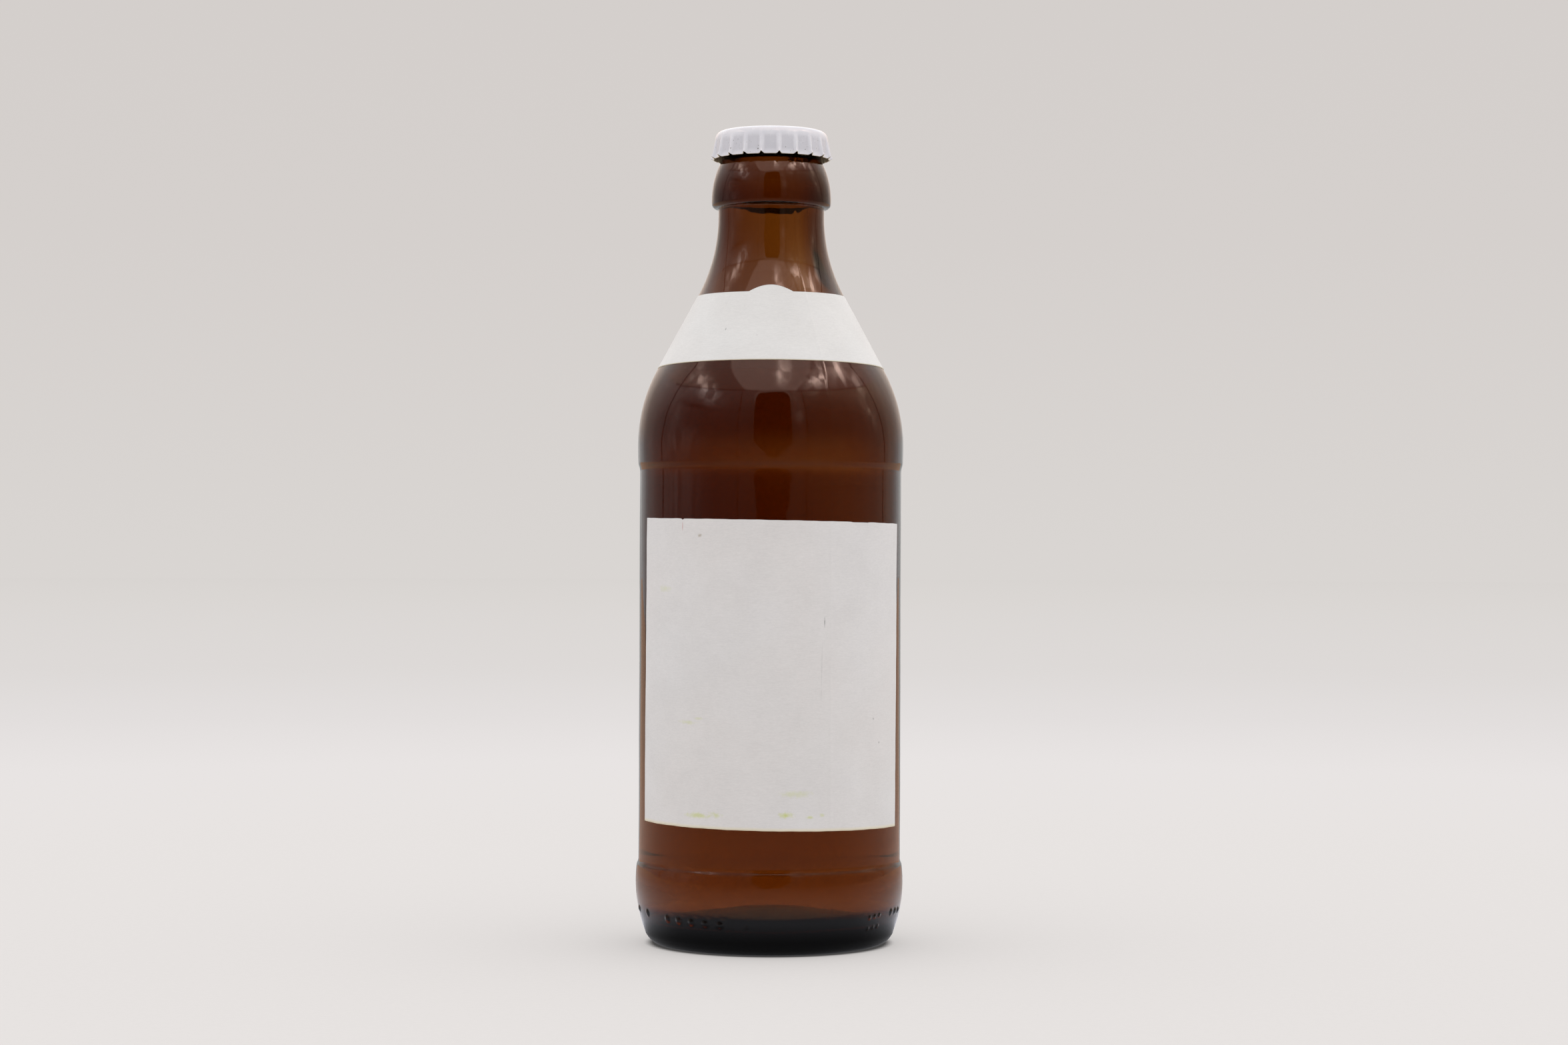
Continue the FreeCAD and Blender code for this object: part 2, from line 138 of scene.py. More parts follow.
def outer_outline():
    """The outside of the glass, from the middle of the dished foot up to the mouth."""
    collar = (COLLAR_RADIUS - COLLAR_ARC, COLLAR_BOTTOM + COLLAR_WIDEST)
    corner_reach = sqrt((HEEL_RADIUS - CORNER_RADIUS) ** 2 - (CORNER_RADIUS - HEEL_WIDEST) ** 2)
    corner = (HEEL_CENTRE[0] + corner_reach, CORNER_RADIUS)
    heel_start = direction(HEEL_CENTRE, corner)
    heel_end = degrees(asin((HEEL_TOP - HEEL_WIDEST) / HEEL_RADIUS))
    edge_reach = sqrt((COLLAR_ARC - COLLAR_EDGE) ** 2 - (COLLAR_EDGE - COLLAR_WIDEST) ** 2)
    edge = (collar[0] + edge_reach, COLLAR_BOTTOM + COLLAR_EDGE)
    dish_radius = (FOOT_INNER_RADIUS ** 2 + PUSH_UP ** 2) / (2 * PUSH_UP)
    dish_end = degrees(acos(FOOT_INNER_RADIUS / dish_radius))
    fillet = (NECK_RADIUS + COLLAR_FILLET, COLLAR_BOTTOM - COLLAR_FILLET)
    lip = (BEAD_RADIUS - LIP_RADIUS, GLASS_HEIGHT - LIP_RADIUS)
    collar_end = degrees(acos((THROAT_RADIUS - collar[0]) / COLLAR_ARC))
    return joined(
        arc((0, PUSH_UP - dish_radius), dish_radius, 90, dish_end, 1.2),
        line((FOOT_INNER_RADIUS, 0), (corner[0], 0), 0.45),
        arc(corner, CORNER_RADIUS, -90, heel_start, 0.3),
        arc(HEEL_CENTRE, HEEL_RADIUS, heel_start, heel_end, 0.6),
        LOWER_STEP,
        line(LOWER_STEP[-1], UPPER_STEP[-1], 1.6),
        UPPER_STEP[::-1],
        arc(BAND_CENTRE, BAND_ARC, degrees(asin(-SHOULDER_BAND / BAND_ARC)), 0, 0.6),
        arc(SHOULDER_CENTRE, SHOULDER_ARC, 0, CONE_ANGLE, 0.7),
        line((CONE_FOOT_RADIUS, CONE_FOOT), (CONE_TOP_RADIUS, CONE_TOP), 0.9),
        arc(NECK_CENTRE, NECK_ARC, 180 + CONE_ANGLE, 180, 0.7),
        line((NECK_RADIUS, NECK_TOP), (NECK_RADIUS, fillet[1]), 0.5),
        arc(fillet, COLLAR_FILLET, 180, 90, 0.1),
        arc(edge, COLLAR_EDGE, -90, direction(collar, edge), 0.15),
        arc(collar, COLLAR_ARC, direction(collar, edge), collar_end, 0.4),
        line((THROAT_RADIUS, GLASS_HEIGHT - BEAD_UNDERSIDE), (BEAD_RADIUS, GLASS_HEIGHT - BEAD_BOTTOM), 0.4),
        arc(lip, LIP_RADIUS, 0, 90, 0.4),
        line((lip[0], GLASS_HEIGHT), (BORE_RADIUS + LIP_INNER_RADIUS, GLASS_HEIGHT), 0.6))


def inner_outline():
    """The inside of the glass, from the middle of the floor up to the mouth."""
    wall_radius, heel_inside = SHOULDER_RADIUS - WALL, BODY_RADIUS - HEEL_WALL
    dome = (0, FLOOR_HEIGHT - FLOOR_DOME_RADIUS)
    reach = heel_inside - FLOOR_CORNER_RADIUS
    corner = (reach, dome[1] + sqrt((FLOOR_DOME_RADIUS + FLOOR_CORNER_RADIUS) ** 2 - reach ** 2))
    meeting = direction(dome, corner)
    lip = (BORE_RADIUS + LIP_INNER_RADIUS, GLASS_HEIGHT - LIP_INNER_RADIUS)
    throat = arc(NECK_CENTRE, NECK_ARC + WALL, 180 + CONE_ANGLE, 180, 1.0)
    bell = arc(SHOULDER_CENTRE, SHOULDER_ARC - WALL, 0, CONE_ANGLE, 0.9)
    return joined(
        arc(dome, FLOOR_DOME_RADIUS, 90, meeting, 1.2),
        arc(corner, FLOOR_CORNER_RADIUS, meeting - 180, 0, 0.6),
        line((heel_inside, corner[1]), (heel_inside, HEEL_WALL_TOP), 1.2),
        line((heel_inside, HEEL_WALL_TOP), (wall_radius, WALL_SETTLES), 1.6),
        line((wall_radius, WALL_SETTLES), (wall_radius, SHOULDER_WIDEST), 2.0),
        bell,
        line(bell[-1], throat[0], 1.2),
        throat,
        line(throat[-1], (BELLY_RADIUS, GLASS_HEIGHT - BELLY_DEPTH), 0.7),
        line((BELLY_RADIUS, GLASS_HEIGHT - BELLY_DEPTH), (BORE_RADIUS, GLASS_HEIGHT - BORE_DEPTH), 0.6),
        line((BORE_RADIUS, GLASS_HEIGHT - BORE_DEPTH), (BORE_RADIUS, lip[1]), 1.2),
        arc(lip, LIP_INNER_RADIUS, 180, 90, 0.25))


# ------------------------ glass surface
def ripple(seed, longest, shortest, count):
    """A smooth uneven function of turn and height, about 1 at its strongest, periodic round the axis."""
    chance = random.Random(seed)
    waves = []
    for _ in range(count):
        length = chance.uniform(shortest, longest)
        turns = round(chance.uniform(-1, 1) * 2 * pi * BODY_RADIUS / length)
        waves.append((turns, 2 * pi / length * chance.choice((-1, 1)), chance.uniform(0, 2 * pi)))

    def value(turn, height):
        total = sum(np.cos(turns * turn + rate * height + phase) for turns, rate, phase in waves)
        return total / sqrt(count)
    return value


OUTER_WAVE, FINE_WAVE, INNER_WAVE, BODY_PAPER_WAVE, NECK_PAPER_WAVE = 0.022, 0.005, 0.11, 0.018, 0.014
OUTER_RIPPLE = ripple(3, 60, 18, 9)
FINE_RIPPLE = ripple(5, 14, 6, 12)
INNER_RIPPLE = ripple(11, 70, 22, 10)
PAPER_RIPPLE = ripple(29, 26, 7, 14)
SEAM_TURNS = (FRONT + radians(26.6), FRONT + radians(206.6))
SEAM_RELIEF, SEAM_WIDTH = 0.06, 0.3
PLATE_RELIEF, PLATE_HEIGHT, PLATE_WIDTH = 0.07, 2.45, 0.22   # the line round the mould's base plate


def bump(distance, width):
    """1 at no distance, falling off smoothly to either side."""
    return np.exp(-(distance / width) ** 2)


def eased(share):
    """0 up to 0 and 1 from 1 on, with a smooth rise between."""
    share = np.clip(share, 0, 1)
    return share * share * (3 - 2 * share)


def smooth_step(value, low, high):
    return eased((value - low) / (high - low))


def wrapped(angle):
    """An angle brought between minus and plus half a turn."""
    return (angle + pi) % (2 * pi) - pi


def outer_relief(turn, radius, height):
    """How far the outer glass stands proud: its unevenness, two mould seams and the base plate's line."""
    wavy = OUTER_WAVE * OUTER_RIPPLE(turn, height) + FINE_WAVE * FINE_RIPPLE(turn, height)
    seam = sum(SEAM_RELIEF * bump(wrapped(turn - place) * radius, SEAM_WIDTH) for place in SEAM_TURNS)
    seam = seam * (height > 3) * (height < COLLAR_BOTTOM - 2)
    plate = PLATE_RELIEF * bump(height - PLATE_HEIGHT, PLATE_WIDTH) * (radius > 27)
    fade = np.clip(radius / 6, 0, 1) * (height < GLASS_HEIGHT - 7)
    return (wavy * (height > 0.6) + seam) * fade + plate


def between(height, low, high, low_fade, high_fade):
    """1 between two heights, with a smooth fade past each of them."""
    return smooth_step(height, low - low_fade, low) * (1 - smooth_step(height, high, high + high_fade))


# How much thinner the wall is than the plain outline has it, in each of five places
THIN_SIDES, THIN_HEEL, THIN_PANEL, THIN_BAND, THIN_NECK = 0.7, 0.75, -0.45, 0.95, 0.26


def inner_relief(turn, radius, height):
    """How far the inside is pushed out, which thins the glass and bends what is seen through it."""
    fade = np.clip(radius / 12, 0, 1) * np.clip((GLASS_HEIGHT - 6 - height) / 20, 0, 1)
    sides = sum(bump(wrapped(turn - FRONT - radians(side)), radians(24)) for side in (36, 144))
    wavy = INNER_WAVE * INNER_RIPPLE(turn, height) + THIN_SIDES * sides * smooth_step(height, 26, 44)
    heel = THIN_HEEL * between(height, 11, 12, 4, 8)
    panel = THIN_PANEL * between(height, 26, PANEL_TOP - 3, 8, 4)
    band = THIN_BAND * between(height, PANEL_TOP + 2, 117, 4, 6) * np.sin(turn) ** 2
    neck = THIN_NECK * between(height, 156, 178, 8, 8)
    return wavy * fade + heel + panel + band + neck


def outline_normals(outline):
    """Unit normals of a chain of points, to the right of its run."""
    places = np.array(outline)
    along = np.gradient(places, axis=0)
    along /= np.maximum(np.linalg.norm(along, axis=1, keepdims=True), 1e-9)
    return np.column_stack([along[:, 1], -along[:, 0]])


def turns_round(count, extra=()):
    """Angles round the axis, evenly spaced, with closer ones at each place of a seam."""
    turns = list(np.arange(count) * 2 * pi / count)
    for place in extra:
        turns += [place % (2 * pi) + radians(offset) for offset in (-1.0, -0.6, -0.3, 0, 0.3, 0.6, 1.0)]
    return np.array(sorted({round(turn % (2 * pi), 6) for turn in turns}))


def round_axis(radius, turn, height):
    """Points at a radius, turn and height."""
    return np.stack([radius * np.cos(turn), radius * np.sin(turn), height], axis=-1)


def lathe_rows(outline, turns, relief):
    """Rows of points round the axis, pushed along the outline's normal by a relief."""
    places = np.array(outline)
    normals = outline_normals(outline)
    radius, turn = np.meshgrid(places[:, 0], turns, indexing="ij")
    height = np.meshgrid(places[:, 1], turns, indexing="ij")[0]
    push = relief(turn, radius, height)
    return round_axis(np.maximum(radius + push * normals[:, :1], 0), turn, height + push * normals[:, 1:])


def mesh_piece(name, verts, faces, smooth=True):
    """An object from points in millimetres."""
    mesh = bpy.data.meshes.new(name)
    mesh.from_pydata([tuple(place) for place in np.asarray(verts) * MM], [], faces)
    mesh.validate()
    mesh.polygons.foreach_set("use_smooth", [smooth] * len(mesh.polygons))
    piece = bpy.data.objects.new(name, mesh)
    bpy.context.scene.collection.objects.link(piece)
    return piece


def revolved(name, rows):
    """A surface through rows of points round the axis, whose first and last rows shrink to the axis."""
    count = rows.shape[1]
    middle = rows[1:-1]
    verts = np.vstack([rows[0].mean(axis=0)[None], middle.reshape(-1, 3), rows[-1].mean(axis=0)[None]])
    last = len(verts) - 1
    faces = []
    for j in range(count):
        k = (j + 1) % count
        faces.append((0, 1 + k, 1 + j))
        faces.append((last, last - count + j, last - count + k))
    for row in range(len(middle) - 1):
        low = 1 + row * count
        high = low + count
        for j in range(count):
            k = (j + 1) % count
            faces.append((low + j, low + k, high + k, high + j))
    return mesh_piece(name, verts, faces)


HEEL_DOT_RADIUS, HEEL_DOT_HEIGHT = 0.75, 0.34
DOTS_TOP, DOTS_INNER_RADIUS = 12, 28.5   # the dots lie below this height and outside this radius


def heel_dots():
    """Turn from the front in degrees, height and size of each small raised dot on the heel: two rows on the
    left and plain dots on the right."""
    dots = [(-78, 8.6, 1.0), (-66, 8.3, 1.0)]
    dots += [(-49.5 + 7.0 * step, 7.7 - 0.12 * step, 1.0) for step in range(5)]
    dots += [(-9.5, 7.0, 0.45)]
    for height in (8.2, 5.6):
        dots += [(48.5 + 3.4 * step, height + 0.15 * step, 0.6) for step in range(3)]
    dots += [(66 + 5.0 * step, 8.6, 0.9) for step in range(3)]
    return dots


def on_heel(place):
    """Whether a point of the mesh lies where the dots may be, on the outside of the glass."""
    return place.z < DOTS_TOP * MM and hypot(place.x, place.y) > DOTS_INNER_RADIUS * MM


def refine_near(mesh, centres):
    """Splits the faces round each centre into finer ones, twice over."""
    near = 2.0 * MM
    for _ in range(2):
        edges = set()
        for face in mesh.faces:
            middle = face.calc_center_median()
            if on_heel(middle) and any((middle - centre).length < near for centre, _ in centres):
                edges.update(face.edges)
        bmesh.ops.subdivide_edges(mesh, edges=list(edges), cuts=1, use_grid_fill=True)
        near *= 0.75


def dot_lift(place, centres):
    """How far the dots raise a point of the heel."""
    lift = 0
    for centre, size in centres:
        away = (place - centre).length / MM / (HEEL_DOT_RADIUS * size)
        lift += HEEL_DOT_HEIGHT * size * max(0.0, 1 - (away / 1.45) ** 2) ** 1.5
    return lift


def raise_dots(piece):
    """Refines the glass round each heel dot and lifts it there."""
    centres = []
    for degrees_right, height, size in heel_dots():
        turn = FRONT + radians(degrees_right)
        reach = BODY_RADIUS - HEEL_RADIUS + sqrt(HEEL_RADIUS ** 2 - (HEEL_WIDEST - height) ** 2)
        centres.append((Vector((reach * cos(turn), reach * sin(turn), height)) * MM, size))
    mesh = bmesh.new()
    mesh.from_mesh(piece.data)
    refine_near(mesh, centres)
    for vert in mesh.verts:
        lift = dot_lift(vert.co, centres) if on_heel(vert.co) else 0
        if lift:
            vert.co += Vector((vert.co.x, vert.co.y, 0)).normalized() * lift * MM
    mesh.to_mesh(piece.data)
    mesh.free()
    piece.data.polygons.foreach_set("use_smooth", [True] * len(piece.data.polygons))


GLASS_TURNS, BEER_TURNS = 256, 192     # places round the axis
RIB_DEPTH, RIBS_OUTER_RADIUS = 0.12, 25.5


def foot_relief(turn, radius, height):
    """The outer relief, with fine radial ribs on the ring that the bottle stands on, cut up into it."""
    on_ring = (height < 0.02) * (radius > FOOT_INNER_RADIUS + 0.2) * (radius < RIBS_OUTER_RADIUS)
    every_other = np.round(turn * GLASS_TURNS / (2 * pi)) % 2
    return outer_relief(turn, radius, height) - RIB_DEPTH * on_ring * every_other


def make_bottle():
    """The glass as one closed surface, outside and inside."""
    turns = turns_round(GLASS_TURNS, SEAM_TURNS)
    outside = lathe_rows(outer_outline(), turns, foot_relief)
    inside = lathe_rows(inner_outline(), turns, inner_relief)
    piece = revolved("bottle_glass", np.concatenate([outside, inside[::-1]]))
    raise_dots(piece)
    return piece


OVERLAP = 0.30          # how far the beer reaches into the glass
MENISCUS = 1.3          # rise of the beer at the wall
MENISCUS_REACH = 1.1    # how fast it falls off inwards


def make_beer():
    """The beer, a little into the wall all round, with its surface drawn up at the glass."""
    inside = [place for place in inner_outline() if place[1] < BEER_LEVEL + MENISCUS]
    turns = turns_round(BEER_TURNS)
    wall = lathe_rows(inside, turns, lambda *at: inner_relief(*at) + OVERLAP)
    edge = inside[-1][0]
    reach = np.linspace(edge - 0.2, 0, 24)
    level = BEER_LEVEL + MENISCUS * np.exp(-(edge - reach) / MENISCUS_REACH)
    top = lathe_rows(list(zip(reach, level)), turns, lambda turn, radius, height: 0 * turn)
    return revolved("beer_fill", np.concatenate([wall, top]))


# ------------------------ crown
FLUTES, CROWN_TURN, STEPS_PER_FLUTE = 21, radians(7.4), 28
CROWN_RIM, CROWN_TOP = [corner.z for corner in box_mm("crown_cap")]
SKIRT_TOP = GLASS_HEIGHT - 1.0
SKIRT_RADIUS, CROWN_EDGE, CROWN_DOME, SHEET = 13.35, 1.7, 0.15, 0.24
# The ridges from the top of the facets to the teeth: height, and half width in pitches
RIDGE_HEIGHT, TOOTH_HEIGHT, RIDGE_WIDTH, TOOTH_WIDTH = 0.14, 0.62, 0.112, 0.090
FACET_BULGE, FACET_HOLLOW, TOOTH_LIFT, RIM_SAG = 0.12, 0.13, 0.42, 0.10


def crown_outline():
    """The crown's facets from the middle of its top down to the rim."""
    edge = SKIRT_RADIUS - CROWN_EDGE
    dome_radius = (edge ** 2 + CROWN_DOME ** 2) / (2 * CROWN_DOME)
    dome = arc((0, CROWN_TOP - dome_radius), dome_radius, 90, degrees(acos(edge / dome_radius)), 0.8)
    corner = arc((edge, SKIRT_TOP), CROWN_EDGE, 90, 0, 0.16)
    drop = SKIRT_TOP - CROWN_RIM
    skirt = [(SKIRT_RADIUS + 0.30 * share + 0.20 * share ** 4, SKIRT_TOP - drop * share)
             for share in np.linspace(0, 1, 34)]
    return joined(dome, corner, skirt)


def hollowness(off, share):
    """1 in the middle of a facet, 0 on its ridges and above it."""
    down = np.clip((share - 0.10) / 0.22, 0, 1) * np.clip((1.02 - share) / 0.25, 0, 1)
    return eased((np.abs(off) - 0.09) / 0.12) * eased(down)


def off_ridge(turns):
    """How far turns lie from the nearest ridge, in pitches from -0.5 to 0.5."""
    return wrapped((turns - FRONT - CROWN_TURN) * FLUTES) / (2 * pi)


def down_skirt(height):
    """0 at the top of the facets, 1 at the rim."""
    facets_top = SKIRT_TOP + 0.5
    return np.clip((facets_top - height) / (facets_top - CROWN_RIM), 0, 1)


def crown_rows(outline, turns, inset):
    """Rows of the crown's surface with its ridges, set in by the sheet's thickness for the inside."""
    off = off_ridge(turns)
    rows = []
    for (radius, height), normal in zip(outline, outline_normals(outline)):
        share = down_skirt(height)
        sharp = np.exp(-(np.abs(off) / (RIDGE_WIDTH + (TOOTH_WIDTH - RIDGE_WIDTH) * share)) ** 2.2)
        ridge = (RIDGE_HEIGHT * np.clip(share * 3.2, 0, 1) + TOOTH_HEIGHT * share ** 1.9) * sharp
        facet = FACET_BULGE * np.sin(pi * share) - FACET_HOLLOW * hollowness(off, share)
        lift = TOOTH_LIFT * sharp * np.clip((share - 0.80) / 0.20, 0, 1)
        sag = RIM_SAG * (1 - sharp) * np.clip((share - 0.85) / 0.15, 0, 1)
        reach = radius + ridge + facet - inset * normal[0]
        level = height + lift - sag - inset * normal[1]
        rows.append(round_axis(reach, turns, level))
    return np.array(rows)


def make_crown():
    """The crown's sheet, outside and inside. It notes how hollow each point is, which the paint darkens there
    as painted shade, and its rim and inside have the second material."""
    turns = np.arange(FLUTES * STEPS_PER_FLUTE) * 2 * pi / (FLUTES * STEPS_PER_FLUTE)
    outline = crown_outline()
    outside = crown_rows(outline, turns, 0)
    inwards = np.sign(outline_normals(outline)[-1][0])
    inside = crown_rows(outline[::2] + outline[-1:], turns, SHEET * inwards)
    piece = revolved("crown_shell", np.concatenate([outside, inside[::-1]]))
    # How hollow each point is, kept for the painted shade in the crown's paint
    values = np.concatenate([hollowness(off_ridge(turns), down_skirt(height)) for _, height in outline[1:]])
    hollow_shade = np.zeros(len(piece.data.vertices))
    hollow_shade[1:1 + len(values)] = values
    piece.data.attributes.new("hollow_shade", "FLOAT", "POINT").data.foreach_set("value", hollow_shade)
    for face in piece.data.polygons:
        row = (min(face.vertices) - 1) // len(turns)
        face.material_index = int(row >= len(outline) - 2)
    return piece


# ------------------------ labels
PAPER_UNDER, PAPER_OVER = -0.06, 0.10   # back and front of the paper against the glass


def sheet_piece(name, corner, place, across, up):
    """A thin sheet of paper. corner() gives its turn and run for shares s and t from 0 to 1 of its width and
    height, place() the point there that stands proud of the glass by so much."""
    s, t = np.meshgrid(np.linspace(0, 1, across + 1), np.linspace(0, 1, up + 1), indexing="ij")
    turn, run = corner(s, t)
    verts = [place(turn, run, proud, s, t).reshape(-1, 3) for proud in (PAPER_OVER, PAPER_UNDER)]
    size = (across + 1) * (up + 1)

    def index(i, j, layer):
        return layer * size + i * (up + 1) + j

    faces = []
    for i in range(across):
        for j in range(up):
            corners = [(i, j), (i + 1, j), (i + 1, j + 1), (i, j + 1)]
            faces.append([index(*at, 0) for at in corners])
            faces.append([index(*at, 1) for at in corners[:1] + corners[:0:-1]])
    rim = [(i, 0) for i in range(across)] + [(across, j) for j in range(up)]
    rim += [(i, up) for i in range(across, 0, -1)] + [(0, j) for j in range(up, 0, -1)]
    for here, ahead in zip(rim, rim[1:] + rim[:1]):
        faces.append([index(*here, 0), index(*here, 1), index(*ahead, 1), index(*ahead, 0)])
    piece = mesh_piece(name, np.concatenate(verts), faces)
    flat = np.stack([s, t], axis=-1).reshape(-1, 2)
    corners = np.zeros(len(piece.data.loops), dtype=np.int32)
    piece.data.loops.foreach_get("vertex_index", corners)
    piece.data.uv_layers.new(name="sheet").data.foreach_set("uv", flat[corners % size].ravel())
    return piece


BODY_LABEL_WIDTH, BODY_LABEL_TURN, BODY_LABEL_TILT = 76.3, radians(1.5), radians(0.9)
LABEL_BOTTOM, LABEL_TOP = PANEL_BOTTOM + 8.8, PANEL_TOP - 11.6
NICK_SHARE, LIFTED_SHARE = 0.195, 0.78   # places along the upper edge that are nicked and lifted


def make_body_label():
    """The main label, wrapped on the panel, a little turned and askew."""
    width, height = BODY_LABEL_WIDTH, LABEL_TOP - LABEL_BOTTOM

    def corner(s, t):
        nick = 0.30 * bump(s - NICK_SHARE, 0.004) * (t > 0.99)
        cut_back = 0.07 * (np.abs(s - LIFTED_SHARE) < 0.035) * (t > 0.9)
        ragged = 0.02 * np.sin(s * 47) + 0.015 * np.sin(s * 113 + 1) - cut_back
        across = (s - 0.5) * width
        rise = (t - 0.5) * height - nick + ragged * (np.abs(t - 0.5) * 2) ** 8
        run = (LABEL_BOTTOM + LABEL_TOP) / 2 + rise * cos(BODY_LABEL_TILT) - across * sin(BODY_LABEL_TILT)
        round_panel = across * cos(BODY_LABEL_TILT) + rise * sin(BODY_LABEL_TILT)
        return FRONT + BODY_LABEL_TURN + round_panel / PANEL_RADIUS, run

    def place(turn, run, proud, s, t):
        wrinkle = BODY_PAPER_WAVE * PAPER_RIPPLE(turn, run)
        crease = 0.10 * bump(s - NICK_SHARE, 0.004) * np.clip((t - 0.95) / 0.05, 0, 1)
        lift = 0.16 * np.clip((t - 0.985) / 0.015, 0, 1) * bump(s - LIFTED_SHARE, 0.05)
        uneven = max(proud, 0) / PAPER_OVER * (wrinkle + crease + lift)
        reach = PANEL_RADIUS + outer_relief(turn, PANEL_RADIUS, run) + proud + uneven
        return round_axis(reach, turn, run)

    return sheet_piece("body_label_paper", corner, place, 300, 200)


# The neck label's heights run along the cone from its foot
NECK_LABEL_HALF, NECK_LABEL_LOW, NECK_LABEL_BOW, NECK_LABEL_HEIGHT = radians(99), 0.3, 1.1, 18.7
NECK_TAB_HALF, NECK_TAB_HEIGHT = 5.2, 1.8


def make_neck_label():
    """The neck label round the cone, its lower edge bowed and a rounded tab on its upper edge."""
    high = NECK_LABEL_LOW + NECK_LABEL_BOW + NECK_LABEL_HEIGHT
    upper_radius = CONE_FOOT_RADIUS - high * sin(SLOPE)

    def corner(s, t):
        turn = (s - 0.5) * 2 * NECK_LABEL_HALF
        low = NECK_LABEL_LOW + NECK_LABEL_BOW * (1 - (turn / NECK_LABEL_HALF) ** 2)
        tab = NECK_TAB_HEIGHT * np.clip(1 - (turn * upper_radius / NECK_TAB_HALF) ** 2, 0, 1)
        return FRONT + turn, low + (high + tab - low) * t

    def place(turn, run, proud, s, t):
        wrinkle = NECK_PAPER_WAVE * PAPER_RIPPLE(turn, run)
        along_arc = np.maximum(run - (CONE_TOP - CONE_FOOT) / cos(SLOPE), 0)
        curl = along_arc ** 2 / (2 * NECK_ARC)
        radius = CONE_FOOT_RADIUS - run * sin(SLOPE) + curl * cos(SLOPE)
        height = CONE_FOOT + run * cos(SLOPE) + curl * sin(SLOPE)
        push = proud + max(proud, 0) / PAPER_OVER * wrinkle + outer_relief(turn, radius, height)
        return round_axis(radius + push * cos(SLOPE), turn, height + push * sin(SLOPE))

    return sheet_piece("neck_label_paper", corner, place, 420, 60)


# ------------------------ materials
class Value:
    """A node's output to reckon with like a number. Each operation adds a node."""

    def __init__(self, graph, socket):
        self.graph = graph
        self.socket = socket

    def __add__(self, other):
        return self.graph.math("ADD", self, other)

    def __sub__(self, other):
        return self.graph.math("SUBTRACT", self, other)

    def __rsub__(self, other):
        return self.graph.math("SUBTRACT", other, self)

    def __mul__(self, other):
        return self.graph.math("MULTIPLY", self, other)

    def __truediv__(self, other):
        return self.graph.math("DIVIDE", self, other)

    def __pow__(self, other):
        return self.graph.math("POWER", self, other)

    def __abs__(self):
        return self.graph.math("ABSOLUTE", self)

    __radd__, __rmul__ = __add__, __mul__

    def at_least(self, other):
        return self.graph.math("MAXIMUM", self, other)

    def clamped(self):
        """The value of the last operation, kept between 0 and 1."""
        self.socket.node.use_clamp = True
        return self

    def line(self, width):
        """1 where the value is 0, 0 well off it."""
        return self.graph.math("EXPONENT", (self / width) ** 2.0 * -1.0)

    def step(self, low, high):
        """0 below low, 1 above high, eased between."""
        return self.graph.out("ShaderNodeMapRange", 0, {0: self, 1: low, 2: high},
                              interpolation_type="SMOOTHSTEP")


